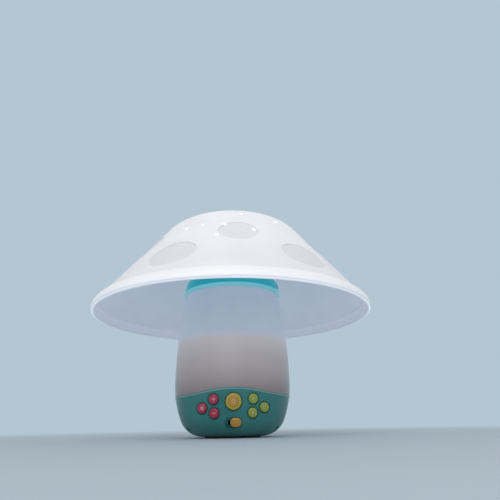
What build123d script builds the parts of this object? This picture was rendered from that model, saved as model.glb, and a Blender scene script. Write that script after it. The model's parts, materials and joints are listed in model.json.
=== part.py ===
from build123d import *
import os
from math import atan2, cos, hypot, radians, sin, sqrt, tan

# A mushroom-shaped projector light: a lift-off cap on a milky stem, over a base with a control panel.
# Millimetres. The origin is the middle of the footprint, +Z is up and the control panel faces -Y.

# Clearances
slide_clearance = 0.3
fit_clearance = 0.15
rest_gap = 0.3

# Body: one outline that the stem and the base share
body_radius = 48.0
body_widest_height = 42.0
stem_taper = 6.8
stem_top_height = 118.0
knee_inset = 5.75
knee_height = 13.0
base_floor_height = 1.0
stem_wall = 2.0
base_wall = 2.6

# Wavy seam between stem and base, seen from the front
seam_crest_height = 35.3
seam_trough_height = 31.0
seam_half_wave = 43.0
seam_gap = 0.3
seam_lip_proud = 0.3
seam_lip_height = 0.9
tongue_height = 3.5
tongue_wall = 1.5
tongue_root = 4.0

# Cap
cap_rim_radius = 120.0
cap_drop = 35.65
cap_bead_radius = 114.0
cap_bead_rise = 9.7
cap_bead_bulge = 1.6
cap_rim_straight = 2.0
cap_rim_thickness = 4.5
cap_rim_round = 1.8
cap_crease_radius = 57.0
cap_crease_rise = 79.7
cap_crease_round = 30.0
cap_rise = 90.4
cap_wall = 2.0

# Oval spots moulded into the cap: (ring radius, first azimuth from the front, half width, half height)
spot_rings = ((81.0, 2.7, 15.5, 13.9), (98.5, 32.7, 19.3, 15.5))
spot_count = 6
spot_depth = 0.5

# Star openings through the cap: (ring radius, azimuth from the front) in one third of it, and one at the top
star_places = (
    (16.0, 20.0),
    (27.0, -38.0),
    (38.0, 8.0),
    (38.0, 52.0),
    (49.0, -22.0),
    (49.0, 32.0),
    (51.0, -52.0),
    (62.0, 6.7),
    (65.0, 33.7),
    (70.0, 49.7),
    (73.0, -19.3),
    (74.0, -5.3),
    (74.0, -30.3),
    (79.0, 11.7),
    (85.0, -8.3),
)
star_repeats = 3
star_tip_radius = 1.8
crown_star_radius = 2.6
star_points = 5
star_waist = 0.5

# Clear liner behind the star openings
liner_thickness = 1.0
liner_edge_inset = 8.0

# Collar
collar_overhang = 1.5
collar_skirt = 2.4
collar_lip_height = 3.0
collar_lip_step = 0.6
collar_lip_round = 0.8
collar_side_height = 3.05
collar_shoulder_round = 11.0
collar_wall = 2.0
socket_radius = 24.5
socket_wall = 2.0
socket_depth = 12.25
tower_seat_thickness = 2.0
tower_seat_bore = 15.0
key_azimuth = -18.0
key_count = 2
key_width = 3.0
notch_width = 4.6
notch_rise = 1.0
notch_height = 6.0

# Cap spider, which carries the cap in the collar's socket
sleeve_wall = 1.8
sleeve_foot_gap = 2.2
key_foot_gap = 1.5
hub_flange_radius = 29.0
hub_flange_thickness = 3.2
arm_count = 3
arm_azimuth = -15.0
arm_thickness = 4.0
arm_root_height = 7.0
arm_pad_radius = 4.2
arm_pad_thickness = 3.0
cap_screw_circle = 66.0
cap_boss_radius = 3.4
cap_boss_length = 9.25

# Screws: shank and head radii shared by every self-tapping screw
screw_radius = 1.1
screw_head_radius = 2.2
screw_head_height = 1.6
screw_slot_depth = 0.8
screw_slot_width = 0.7
screw_slot_length = 3.0
cap_screw_length = 8.0
case_screw_length = 16.0
board_screw_length = 8.0
door_screw_length = 6.0

# Case screws and their posts
case_screw_circle = 37.0
case_screw_azimuths = (-25.0, 35.0, 145.0, 205.0)
case_post_radius = 3.4
case_post_top = 22.0
case_seat_thickness = 4.0
stem_boss_top = 48.0
stem_rib_bottom = 41.0
stem_rib_thickness = 2.0

# Control panel: places are (x, z) seen from the front
small_button_radius = 3.6
large_button_radius = 5.9
button_sides = {"top": (14.7, 27.3), "outer": (23.2, 21.3), "bottom": (14.2, 17.6)}
large_button_place = (0.0, 25.4)
button_proud = 1.4
button_edge_round = 1.2
button_travel = 1.0
button_ring_width = 0.7
button_ring_depth = 0.5
button_flange_lip = 0.6
button_flange_thickness = 1.2
button_disc_radius = 3.7
button_disc_depth = 0.8
button_disc_proud = 0.2
button_disc_round = 0.3
guide_wall = 1.1
guide_end = 31.5

# Slide switch
knob_length = 8.2
knob_height = 6.4
knob_proud = 1.4
knob_edge_round = 0.9
knob_travel = 3.5
knob_neck_length = 4.0
knob_neck_height = 2.6
knob_plate_length = 6.4
knob_plate_height = 4.6
knob_plate_thickness = 1.2
switch_height = 11.0
switch_tray_gap = 0.45
switch_tray_depth = 1.6
switch_body_length = 14.0
switch_body_height = 6.0
switch_body_depth = 4.5

# Main board and keypad
board_front = 25.0
board_thickness = 1.6
board_half_width = 27.5
board_bottom = 8.0
board_top = 34.0
board_corner = 6.0
board_screw_places = ((24.4, 29.6), (19.0, 10.6))
board_post_radius = 2.5
keypad_web = 1.5
keypad_bottom = 14.4
keypad_half_width = 27.0
dome_radius = 3.0
dome_tip_radius = 2.2

# Battery compartment with three AAA cells
cell_radius = 5.25
cell_length = 44.5
cell_nub_radius = 1.9
cell_nub_length = 1.0
cell_count = 3
cell_gap = 0.4
contact_thickness = 0.5
contact_radius = 3.6
door_contact_height = 1.4
box_wall = 1.4
box_roof = 2.4
box_socket_wall = 1.5
box_socket_height = 6.0
door_thickness = 1.6
door_margin = 2.6
door_boss_radius = 2.6

# Foot ring
foot_gap = 1.1
foot_width = 3.4
foot_seat_depth = 0.6

# Speaker behind the grille in the back
speaker_radius = 12.5
speaker_height = 20.5
speaker_front = 33.0
speaker_rim_thickness = 2.0
speaker_basket_depth = 4.0
speaker_magnet_radius = 7.0
speaker_magnet_depth = 5.0
speaker_cone_wall = 0.6
speaker_cone_depth = 3.0
speaker_seat_wall = 1.4
speaker_seat_ledge = 1.5
grille_hole_radius = 0.95
grille_rings = ((0.0, 1), (3.6, 6), (7.2, 12))

# Lamp
reflector_height = 74.0
reflector_thickness = 2.0
reflector_edge_gap = 0.4
reflector_overlap = 8.0
reflector_wire_bore = 6.0
lamp_board_inner = 12.0
lamp_board_outer = 30.0
lamp_board_thickness = 1.6
lamp_led_circle = 22.0
lamp_led_count = 6
led_radius = 2.5
led_height = 6.0
tower_radius = 19.6
tower_wall = 1.8
tower_flange_radius = 23.0
tower_flange_thickness = 1.6
tower_height = 25.0
tower_ledge_width = 5.0
tower_ledge_height = 6.0
tower_screw_circle = 21.0
tower_screw_count = 3
tower_screw_length = 3.5
star_board_thickness = 1.6
star_board_screw_circle = 15.2
star_board_screw_count = 3
star_board_screw_length = 6.0
lens_radius = 13.5
lens_wall = 1.5
lens_flange_thickness = 1.5

# Worked out from the sizes above
reach = 2 * cap_rim_radius
stem_top_radius = body_radius - stem_taper
knee_radius = body_radius - knee_inset
lower_arc_drop = body_widest_height - knee_height
lower_arc_radius = (lower_arc_drop**2 + knee_inset**2) / (2 * knee_inset)
knee_sine = lower_arc_drop / lower_arc_radius
knee_cosine = sqrt(1 - knee_sine**2)
corner_radius = (knee_height - base_floor_height) / (1 - knee_sine)
floor_radius = knee_radius - corner_radius * knee_cosine
floor_top = base_floor_height + base_wall

collar_lip_radius = stem_top_radius + collar_overhang
collar_bottom = stem_top_height - collar_skirt
collar_side_radius = collar_lip_radius - collar_lip_step
collar_lip_top = collar_bottom + collar_lip_height + collar_lip_step
collar_shoulder_height = collar_lip_top + collar_side_height
collar_top = collar_shoulder_height + collar_shoulder_round
socket_outer = socket_radius + socket_wall
tower_seat_height = collar_top - socket_depth
tower_seat_bottom = tower_seat_height - tower_seat_thickness
notch_bottom = tower_seat_height + notch_rise

cap_rim_height = collar_top - cap_drop
cap_bead_height = cap_rim_height + cap_bead_rise
cap_crease_height = cap_rim_height + cap_crease_rise
cap_top_height = cap_rim_height + cap_rise
cap_slope = atan2(cap_crease_height - cap_bead_height, cap_bead_radius - cap_crease_radius)

sleeve_radius = socket_radius - slide_clearance
hub_bottom = collar_top + rest_gap
hub_top = hub_bottom + hub_flange_thickness

flange_front = guide_end - fit_clearance
flange_back = flange_front - button_flange_thickness
dome_front = flange_back - button_travel - slide_clearance
board_back = board_front - board_thickness
keypad_front = board_front + keypad_web
switch_front = board_front + switch_body_depth
knob_rest = knob_travel / 2

cell_circle = (2 * cell_radius + cell_gap) / sqrt(3)
box_bore = cell_circle + cell_radius + cell_gap
box_radius = box_bore + box_wall
door_top = base_floor_height + door_thickness
cell_bottom = door_top + fit_clearance + door_contact_height
cell_top = cell_bottom + cell_length
box_ceiling = cell_top + contact_thickness
box_top = box_ceiling + box_roof
door_screw_circle = box_radius + fit_clearance + door_boss_radius / 2 + screw_radius / 2
door_radius = door_screw_circle + door_margin
foot_inner = door_radius + slide_clearance + foot_gap
foot_outer = foot_inner + foot_width

reflector_top = reflector_height + reflector_thickness
tower_bore = tower_radius - tower_wall
tower_top = tower_seat_height + tower_height
star_board_top = tower_top
star_board_bottom = star_board_top - star_board_thickness
star_led_height = star_board_top + led_height - led_radius


def stem_radius_at(height):
    rise = stem_top_height - body_widest_height
    arc_radius = (rise**2 + stem_taper**2) / (2 * stem_taper)
    return body_radius - arc_radius + sqrt(arc_radius**2 - (height - body_widest_height) ** 2)


def body_form(inset):
    """The solid inside the body's outline, moved inwards by inset."""
    floor_point = (floor_radius, base_floor_height + inset)
    knee_point = (knee_radius - inset * knee_cosine, knee_height + inset * knee_sine)
    widest_point = (body_radius - inset, body_widest_height)
    top_point = (stem_top_radius - inset, stem_top_height)
    with BuildPart() as form:
        with BuildSketch(Plane.XZ):
            with BuildLine():
                Line((0, base_floor_height + inset), floor_point)
                TangentArc(floor_point, knee_point, tangent=(1, 0))
                TangentArc(knee_point, widest_point, tangent=(knee_sine, knee_cosine))
                TangentArc(widest_point, top_point, tangent=(0, 1))
                Polyline(top_point, (0, stem_top_height), (0, base_floor_height + inset))
            make_face()
        revolve(axis=Axis.Z)
    return form.part


def seam_form(rise):
    """Everything below the wavy seam, with the seam moved up by rise."""
    crest = (0, seam_crest_height + rise)
    middle = (seam_half_wave / 2, (seam_crest_height + seam_trough_height) / 2 + rise)
    trough = (seam_half_wave, seam_trough_height + rise)
    with BuildPart() as region:
        with BuildSketch(Plane.XZ):
            with BuildLine():
                falling = TangentArc(crest, middle, tangent=(1, 0))
                TangentArc(middle, trough, tangent=falling % 1)
                Polyline(trough, (reach, trough[1]), (reach, -reach), (0, -reach), crest)
            make_face()
            mirror(about=Plane.YZ)
        extrude(amount=reach, both=True)
    return region.part


def cap_form(inset):
    """The solid inside the cap's outline, moved inwards by inset."""
    shift = (inset * sin(cap_slope), inset * cos(cap_slope))
    crease = (cap_crease_radius - inset * sin(cap_slope / 2), cap_crease_height - inset * cos(cap_slope / 2))
    bead = (cap_bead_radius - shift[0], cap_bead_height - shift[1])
    rim = (cap_rim_radius - inset, cap_rim_height + cap_rim_straight)
    chord = (rim[0] - bead[0], rim[1] - bead[1])
    chord_length = hypot(*chord)
    bulge = (
        (bead[0] + rim[0]) / 2 - cap_bead_bulge * chord[1] / chord_length,
        (bead[1] + rim[1]) / 2 + cap_bead_bulge * chord[0] / chord_length,
    )
    with BuildPart() as form:
        with BuildSketch(Plane.XZ):
            with BuildLine():
                TangentArc((0, cap_top_height - inset), crease, tangent=(1, 0))
                Line(crease, bead)
                ThreePointArc(bead, bulge, rim)
                rim_foot = (rim[0], cap_rim_height)
                Polyline(rim, rim_foot, (0, cap_rim_height), (0, cap_top_height - inset))
            outline = make_face()
            corner = outline.vertices().sort_by_distance((*crease, 0))[0]
            fillet(corner, cap_crease_round - inset)
        revolve(axis=Axis.Z)
    return form.part


def cap_height_at(radius):
    """Height of the cap's outer surface, without the rounding of its crease."""
    if radius >= cap_crease_radius:
        return cap_bead_height + (cap_bead_radius - radius) * tan(cap_slope)
    crown = cap_top_height - cap_crease_height
    dome_radius = (cap_crease_radius**2 + crown**2) / (2 * crown)
    return cap_top_height - dome_radius + sqrt(dome_radius**2 - radius**2)


def cap_point(radius, azimuth):
    """A point on the cap's surface, with the azimuth counted from the front towards +X."""
    angle = radians(azimuth)
    return Vector(radius * sin(angle), -radius * cos(angle), cap_height_at(radius))


def star_prism(point, tip_radius):
    """A star-shaped prism through the cap's wall, along the ray from the star LED."""
    ray = (point - Vector(0, 0, star_led_height)).normalized()
    corners = []
    for corner in range(2 * star_points):
        angle = radians(180 * corner / star_points)
        length = tip_radius * star_waist if corner % 2 else tip_radius
        corners.append((length * cos(angle), length * sin(angle)))
    with BuildPart() as prism:
        with BuildSketch(Plane(origin=point, z_dir=ray)):
            with BuildLine():
                Polyline(*corners, close=True)
            make_face()
        extrude(amount=2 * cap_wall, both=True)
    return prism.part


def spot_cutter(point, half_width, half_height):
    """An oval plug across the cone's surface, square to it, with its width round the cap."""
    outwards = Vector(point.X, point.Y, 0).normalized() * sin(cap_slope) + Vector(0, 0, cos(cap_slope))
    sideways = Vector(-point.Y, point.X, 0)
    with BuildPart() as cutter:
        with BuildSketch(Plane(origin=point, x_dir=sideways, z_dir=outwards)):
            Ellipse(half_width, half_height)
        extrude(amount=half_width / 2, both=True)
    return cutter.part


def button_circles(extra):
    """Draws the buttons' outlines in the open sketch, each widened by extra."""
    for x, z in button_sides.values():
        with Locations((x, z), (-x, z)):
            Circle(small_button_radius + extra)
    with Locations(large_button_place):
        Circle(large_button_radius + extra)


def screw(length):
    """One self-tapping screw with its shank along +Z from the underside of its head at the origin."""
    with BuildPart() as one:
        Cylinder(screw_radius, length, align=(Align.CENTER, Align.CENTER, Align.MIN))
        Cylinder(screw_head_radius, screw_head_height, align=(Align.CENTER, Align.CENTER, Align.MAX))
        with BuildSketch(Plane.XY.offset(-screw_head_height)):
            Rectangle(screw_slot_length, screw_slot_width)
            Rectangle(screw_slot_width, screw_slot_length)
        extrude(amount=screw_slot_depth, mode=Mode.SUBTRACT)
    return one.part


os.makedirs("parts", exist_ok=True)

# The arms' pads meet the bosses that hang from the cap's wall
arm_pad_top = cap_height_at(cap_screw_circle) - cap_boss_length
arm_pad_height = arm_pad_top - arm_pad_thickness

# Places where the four case screws go up through the base into the stem
case_screw_places = [
    (case_screw_circle * cos(radians(azimuth)), case_screw_circle * sin(radians(azimuth)))
    for azimuth in case_screw_azimuths
]
board_screw_both = [(side * x, z) for x, z in board_screw_places for side in (-1, 1)]

# Cap: a cone with a rolled rim and a rounded top, hollow underneath
with BuildPart() as cap_hollow:
    add(cap_form(cap_wall))
    with BuildSketch():
        Circle(cap_rim_radius - cap_rim_thickness)
    extrude(amount=reach, mode=Mode.INTERSECT)
with BuildPart() as cap_bosses:
    with BuildSketch(Plane.XY.offset(arm_pad_top)):
        with PolarLocations(cap_screw_circle, arm_count, start_angle=arm_azimuth):
            Circle(cap_boss_radius)
    extrude(amount=reach)
    add(cap_form(cap_wall / 2), mode=Mode.INTERSECT)
with BuildPart() as cap_spots:
    for ring_radius, first_azimuth, half_width, half_height in spot_rings:
        for turn in range(spot_count):
            middle = cap_point(ring_radius, first_azimuth + 360 * turn / spot_count)
            add(spot_cutter(middle, half_width, half_height))
    add(cap_form(spot_depth), mode=Mode.SUBTRACT)
stars = [(cap_point(0, 0), crown_star_radius)]
for ring_radius, azimuth in star_places:
    for turn in range(star_repeats):
        stars.append((cap_point(ring_radius, azimuth + 360 * turn / star_repeats), star_tip_radius))
star_cutters = [star_prism(point, tip_radius) for point, tip_radius in stars]
star_windows = [star_prism(point, tip_radius - fit_clearance) for point, tip_radius in stars]
with BuildPart() as cap:
    add(cap_form(0))
    add(cap_hollow.part, mode=Mode.SUBTRACT)
    fillet(cap.edges().filter_by(GeomType.CIRCLE).group_by(Axis.Z)[0], cap_rim_round)
    add(cap_bosses.part)
    with BuildSketch(Plane.XY.offset(arm_pad_top)):
        with PolarLocations(cap_screw_circle, arm_count, start_angle=arm_azimuth):
            Circle(screw_radius + fit_clearance)
    extrude(amount=cap_screw_length - arm_pad_thickness + rest_gap, mode=Mode.SUBTRACT)
    add(cap_spots.part, mode=Mode.SUBTRACT)
    add(star_cutters, mode=Mode.SUBTRACT)
cap.part.label = "cap"
export_step(cap.part, "parts/cap.step")

# Star liner: a thin clear shell against the cap's inner wall, open round the bosses, whose raised stars
# fill the star openings
with BuildPart() as star_liner:
    add(star_windows)
    add(cap_form(spot_depth + fit_clearance), mode=Mode.INTERSECT)
    add(cap_form(cap_wall + fit_clearance))
    add(cap_form(cap_wall + fit_clearance + liner_thickness), mode=Mode.SUBTRACT)
    with BuildSketch():
        Circle(cap_rim_radius - liner_edge_inset)
        with PolarLocations(cap_screw_circle, arm_count, start_angle=arm_azimuth):
            Circle(arm_pad_radius + slide_clearance, mode=Mode.SUBTRACT)
    extrude(amount=reach, mode=Mode.INTERSECT)
star_liner.part.label = "star_liner"
export_step(star_liner.part, "parts/star_liner.step")

# Cap spider: a keyed sleeve in the collar's socket, a hub flange and three arms up to the cap
with BuildPart() as spider_arm:
    with BuildSketch(Plane.XZ):
        with BuildLine():
            Polyline(
                (sleeve_radius - sleeve_wall / 2, hub_bottom),
                (hub_flange_radius, hub_bottom),
                (cap_screw_circle, arm_pad_height),
                (cap_screw_circle, arm_pad_top),
                (sleeve_radius - sleeve_wall / 2, hub_top + arm_root_height),
                close=True,
            )
        make_face()
    extrude(amount=arm_thickness / 2, both=True)
    with BuildSketch(Plane.XY.offset(arm_pad_height)):
        with Locations((cap_screw_circle, 0)):
            Circle(arm_pad_radius)
    extrude(amount=arm_pad_thickness)
    with BuildSketch(Plane.XY.offset(arm_pad_height - arm_root_height)):
        with Locations((cap_screw_circle, 0)):
            Circle(screw_head_radius + slide_clearance)
    extrude(amount=arm_root_height, mode=Mode.SUBTRACT)
    with BuildSketch(Plane.XY.offset(arm_pad_height)):
        with Locations((cap_screw_circle, 0)):
            Circle(screw_radius + slide_clearance)
    extrude(amount=arm_pad_thickness, mode=Mode.SUBTRACT)
with BuildPart() as cap_spider:
    sleeve_bottom = tower_seat_height + sleeve_foot_gap
    with BuildSketch(Plane.XY.offset(sleeve_bottom)):
        Circle(sleeve_radius)
    extrude(amount=hub_top - sleeve_bottom)
    with BuildSketch(Plane.XY.offset(hub_bottom)):
        Circle(hub_flange_radius)
    extrude(amount=hub_flange_thickness)
    with PolarLocations(0, arm_count, start_angle=arm_azimuth):
        add(spider_arm.part)
    with BuildSketch(Plane.XY.offset(sleeve_bottom + key_foot_gap)):
        with PolarLocations(sleeve_radius, key_count, start_angle=key_azimuth):
            Rectangle(2 * socket_wall - 2 * slide_clearance, key_width)
    extrude(amount=hub_top - sleeve_bottom - key_foot_gap)
    with BuildSketch(Plane.XY.offset(sleeve_bottom)):
        Circle(sleeve_radius - sleeve_wall)
    extrude(amount=reach, mode=Mode.SUBTRACT)
cap_spider.part.label = "cap_spider"
export_step(cap_spider.part, "parts/cap_spider.step")

with BuildPart() as cap_screws:
    with Locations((0, 0, arm_pad_height)):
        with PolarLocations(cap_screw_circle, arm_count, start_angle=arm_azimuth):
            add(screw(cap_screw_length))
cap_screws.part.label = "cap_screws"
export_step(cap_screws.part, "parts/cap_screws.step")

# Collar: a lip over the stem's rim, a rounded shoulder, and a keyed socket with a seat for the star tower
with BuildPart() as collar:
    shoulder_center = collar_side_radius - collar_shoulder_round
    inner_side = collar_side_radius - collar_wall
    rim_bore = stem_radius_at(collar_bottom) + fit_clearance
    with BuildSketch(Plane.XZ):
        with BuildLine():
            Polyline(
                (rim_bore, collar_bottom),
                (collar_lip_radius, collar_bottom),
                (collar_lip_radius, collar_bottom + collar_lip_height),
                (collar_side_radius, collar_lip_top),
                (collar_side_radius, collar_shoulder_height),
            )
            TangentArc(
                (collar_side_radius, collar_shoulder_height), (shoulder_center, collar_top), tangent=(0, 1)
            )
            Polyline(
                (shoulder_center, collar_top),
                (socket_radius, collar_top),
                (socket_radius, tower_seat_height),
                (tower_seat_bore, tower_seat_height),
                (tower_seat_bore, tower_seat_bottom),
                (socket_outer, tower_seat_bottom),
                (socket_outer, collar_top - collar_wall),
                (shoulder_center, collar_top - collar_wall),
            )
            TangentArc(
                (shoulder_center, collar_top - collar_wall),
                (inner_side, collar_shoulder_height),
                tangent=(1, 0),
            )
            Polyline(
                (inner_side, collar_shoulder_height),
                (inner_side, stem_top_height),
                (rim_bore, stem_top_height),
                (rim_bore, collar_bottom),
            )
        make_face()
    revolve(axis=Axis.Z)
    lip_edges = collar.edges().filter_by(GeomType.CIRCLE).filter_by(
        lambda edge: abs(edge.radius - collar_lip_radius) < fit_clearance
    )
    fillet(lip_edges, collar_lip_round)
    with BuildSketch(Plane.XY.offset(tower_seat_height)):
        with PolarLocations(socket_radius, key_count, start_angle=key_azimuth):
            Rectangle(2 * socket_wall + socket_wall, key_width + 2 * slide_clearance)
    extrude(amount=collar_top - tower_seat_height, mode=Mode.SUBTRACT)
    with BuildSketch(Plane.XY.offset(notch_bottom)):
        with PolarLocations(collar_side_radius, key_count, start_angle=key_azimuth):
            Rectangle(collar_shoulder_round, notch_width)
    extrude(amount=notch_height, mode=Mode.SUBTRACT)
    with BuildSketch(Plane.XY.offset(tower_seat_bottom)):
        with PolarLocations(tower_screw_circle, tower_screw_count):
            Circle(screw_radius + slide_clearance)
    extrude(amount=tower_seat_thickness, mode=Mode.SUBTRACT)
collar.part.label = "collar"
export_step(collar.part, "parts/collar.step")

# Stem shell: milky, open at both ends, with four screw bosses on ribs
with BuildPart() as stem_shell:
    add(body_form(0))
    add(body_form(stem_wall), mode=Mode.SUBTRACT)
    add(seam_form(seam_gap / 2), mode=Mode.SUBTRACT)
    with BuildSketch(Plane.XY.offset(case_post_top + fit_clearance)):
        with Locations(*case_screw_places):
            Circle(case_post_radius)
    extrude(amount=stem_boss_top - case_post_top - fit_clearance)
    with BuildSketch(Plane.XY.offset(stem_rib_bottom)):
        for azimuth in case_screw_azimuths:
            rib_middle = (case_screw_circle + body_radius - stem_wall / 2) / 2
            with PolarLocations(rib_middle, 1, start_angle=azimuth):
                Rectangle(body_radius - stem_wall / 2 - case_screw_circle, stem_rib_thickness)
    extrude(amount=stem_boss_top - stem_rib_bottom)
    with BuildSketch(Plane.XY.offset(case_post_top)):
        with Locations(*case_screw_places):
            Circle(screw_radius + fit_clearance)
    extrude(amount=case_screw_length, mode=Mode.SUBTRACT)
stem_shell.part.label = "stem_shell"
export_step(stem_shell.part, "parts/stem_shell.step")

# Base shell: a cup with guides for the buttons, posts for the screws and a grille at the back
with BuildPart() as base_inside:
    with BuildSketch(Plane.XZ.offset(guide_end)):
        button_circles(slide_clearance + guide_wall)
    extrude(amount=reach)
    with BuildSketch(Plane.XZ.offset(board_front)):
        with Locations(*board_screw_both):
            Circle(board_post_radius)
    extrude(amount=reach)
    with BuildSketch(Plane.XZ.offset(speaker_rim_thickness - speaker_front)):
        with Locations((0, speaker_height)):
            Circle(speaker_radius + fit_clearance + speaker_seat_wall)
    extrude(amount=-reach)
    with BuildSketch():
        with Locations(*case_screw_places):
            Circle(case_post_radius)
    extrude(amount=case_post_top)
    with BuildSketch():
        Circle(box_radius + fit_clearance + box_socket_wall)
        with Locations((0, -door_screw_circle)):
            Circle(door_boss_radius)
    extrude(amount=floor_top + box_socket_height)
    add(body_form(base_wall / 2), mode=Mode.INTERSECT)
with BuildPart() as tongue:
    add(body_form(stem_wall + fit_clearance))
    add(body_form(stem_wall + fit_clearance + tongue_wall), mode=Mode.SUBTRACT)
    add(seam_form(tongue_height), mode=Mode.INTERSECT)
    add(seam_form(-tongue_root), mode=Mode.SUBTRACT)
with BuildPart() as seam_lip:
    add(body_form(-seam_lip_proud))
    add(body_form(base_wall / 2), mode=Mode.SUBTRACT)
    add(seam_form(-seam_gap / 2), mode=Mode.INTERSECT)
    add(seam_form(-seam_gap / 2 - seam_lip_height), mode=Mode.SUBTRACT)
with BuildPart() as panel_rings:
    with BuildSketch(Plane.XZ.offset(guide_end)):
        button_circles(slide_clearance + button_ring_width)
    extrude(amount=reach)
    add(body_form(button_ring_depth), mode=Mode.SUBTRACT)
with BuildPart() as switch_tray:
    with BuildSketch(Plane.XZ.offset(guide_end)):
        with Locations((0, switch_height)):
            SlotOverall(
                knob_length + knob_travel + 2 * switch_tray_gap, knob_height + 2 * switch_tray_gap
            )
    extrude(amount=reach)
    add(body_form(switch_tray_depth), mode=Mode.SUBTRACT)
with BuildPart() as speaker_chamber:
    with BuildSketch(Plane.XZ.offset(-speaker_front)):
        with Locations((0, speaker_height)):
            Circle(speaker_radius - speaker_seat_ledge)
    extrude(amount=-reach)
    add(body_form(base_wall), mode=Mode.INTERSECT)
with BuildPart() as base_shell:
    add(body_form(0))
    add(body_form(base_wall), mode=Mode.SUBTRACT)
    add(base_inside.part)
    add(seam_form(-seam_gap / 2), mode=Mode.INTERSECT)
    add(tongue.part)
    add(seam_lip.part)
    # Control panel
    with BuildSketch(Plane.XZ.offset(guide_end)):
        button_circles(slide_clearance)
    extrude(amount=reach, mode=Mode.SUBTRACT)
    add(panel_rings.part, mode=Mode.SUBTRACT)
    add(switch_tray.part, mode=Mode.SUBTRACT)
    with BuildSketch(Plane.XZ.offset(guide_end)):
        with Locations((0, switch_height)):
            Rectangle(
                knob_neck_length + knob_travel + 2 * slide_clearance, knob_neck_height + 2 * slide_clearance
            )
    extrude(amount=reach, mode=Mode.SUBTRACT)
    with BuildSketch(Plane.XZ.offset(board_front)):
        with Locations(*board_screw_both):
            Circle(screw_radius + fit_clearance)
    extrude(amount=board_screw_length, mode=Mode.SUBTRACT)
    # Speaker seat and grille
    with BuildSketch(Plane.XZ.offset(speaker_rim_thickness - speaker_front)):
        with Locations((0, speaker_height)):
            Circle(speaker_radius + fit_clearance)
    extrude(amount=-speaker_rim_thickness, mode=Mode.SUBTRACT)
    add(speaker_chamber.part, mode=Mode.SUBTRACT)
    with BuildSketch(Plane.XZ.offset(-speaker_front)):
        with Locations((0, speaker_height)):
            for ring_radius, hole_count in grille_rings:
                with PolarLocations(ring_radius, hole_count):
                    Circle(grille_hole_radius)
    extrude(amount=-reach, mode=Mode.SUBTRACT)
    # Case screws, sunk from below
    with BuildSketch():
        with Locations(*case_screw_places):
            Circle(screw_head_radius + slide_clearance)
    extrude(amount=case_post_top - case_seat_thickness, mode=Mode.SUBTRACT)
    with BuildSketch():
        with Locations(*case_screw_places):
            Circle(screw_radius + slide_clearance)
    extrude(amount=case_post_top, mode=Mode.SUBTRACT)
    # Battery socket, door seat and foot ring groove
    with BuildSketch(Plane.XY.offset(floor_top)):
        Circle(box_radius + fit_clearance)
    extrude(amount=box_socket_height, mode=Mode.SUBTRACT)
    with BuildSketch(Plane.XY.offset(base_floor_height)):
        Circle(box_bore)
    extrude(amount=base_wall, mode=Mode.SUBTRACT)
    with BuildSketch(Plane.XY.offset(base_floor_height)):
        Circle(door_radius + slide_clearance)
    extrude(amount=door_thickness + fit_clearance, mode=Mode.SUBTRACT)
    with BuildSketch(Plane.XY.offset(base_floor_height)):
        with Locations((0, -door_screw_circle)):
            Circle(screw_radius + fit_clearance)
    extrude(amount=door_screw_length, mode=Mode.SUBTRACT)
    with BuildSketch(Plane.XY.offset(base_floor_height)):
        Circle(foot_outer + fit_clearance)
        Circle(foot_inner - fit_clearance, mode=Mode.SUBTRACT)
    extrude(amount=foot_seat_depth, mode=Mode.SUBTRACT)
base_shell.part.label = "base_shell"
export_step(base_shell.part, "parts/base_shell.step")

# Foot ring: soft rubber that the light stands on
with BuildPart() as foot_ring:
    with BuildSketch():
        Circle(foot_outer)
        Circle(foot_inner, mode=Mode.SUBTRACT)
    extrude(amount=base_floor_height + foot_seat_depth)
foot_ring.part.label = "foot_ring"
export_step(foot_ring.part, "parts/foot_ring.step")

with BuildPart() as case_screws:
    with Locations(*[(x, y, case_post_top - case_seat_thickness) for x, y in case_screw_places]):
        add(screw(case_screw_length))
case_screws.part.label = "case_screws"
export_step(case_screws.part, "parts/case_screws.step")


def push_button(label, x, z, radius):
    """One button, trimmed to follow the panel, with a flange behind the wall."""
    with BuildPart() as button:
        with BuildSketch(Plane.XZ.offset(flange_front)):
            with Locations((x, z)):
                Circle(radius)
        extrude(amount=reach)
        add(body_form(-button_proud), mode=Mode.INTERSECT)
        fillet(button.faces().sort_by(Axis.Y)[0].edges(), button_edge_round)
        with BuildSketch(Plane.XZ.offset(flange_back)):
            with Locations((x, z)):
                Circle(radius + slide_clearance + button_flange_lip)
        extrude(amount=button_flange_thickness)
    button.part.label = label
    return button.part


for place, (side_x, side_z) in button_sides.items():
    pink_button = push_button(f"pink_button_{place}", -side_x, side_z, small_button_radius)
    export_step(pink_button, f"parts/pink_button_{place}.step")
    green_button = push_button(f"green_button_{place}", side_x, side_z, small_button_radius)
    export_step(green_button, f"parts/green_button_{place}.step")

# Large button, with a disc set into its face
with BuildPart() as disc_seat:
    with BuildSketch(Plane.XZ.offset(flange_front)):
        with Locations(large_button_place):
            Circle(button_disc_radius + fit_clearance)
    extrude(amount=reach)
    add(body_form(button_disc_depth - button_proud), mode=Mode.SUBTRACT)
with BuildPart() as center_button:
    add(push_button("center_button", *large_button_place, large_button_radius))
    add(disc_seat.part, mode=Mode.SUBTRACT)
center_button.part.label = "center_button"
export_step(center_button.part, "parts/center_button.step")

with BuildPart() as center_button_disc:
    with BuildSketch(Plane.XZ.offset(flange_front)):
        with Locations(large_button_place):
            Circle(button_disc_radius)
    extrude(amount=reach)
    add(body_form(-button_proud - button_disc_proud), mode=Mode.INTERSECT)
    add(body_form(button_disc_depth - button_proud), mode=Mode.SUBTRACT)
    fillet(center_button_disc.faces().sort_by(Axis.Y)[0].edges(), button_disc_round)
center_button_disc.part.label = "center_button_disc"
export_step(center_button_disc.part, "parts/center_button_disc.step")

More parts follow.
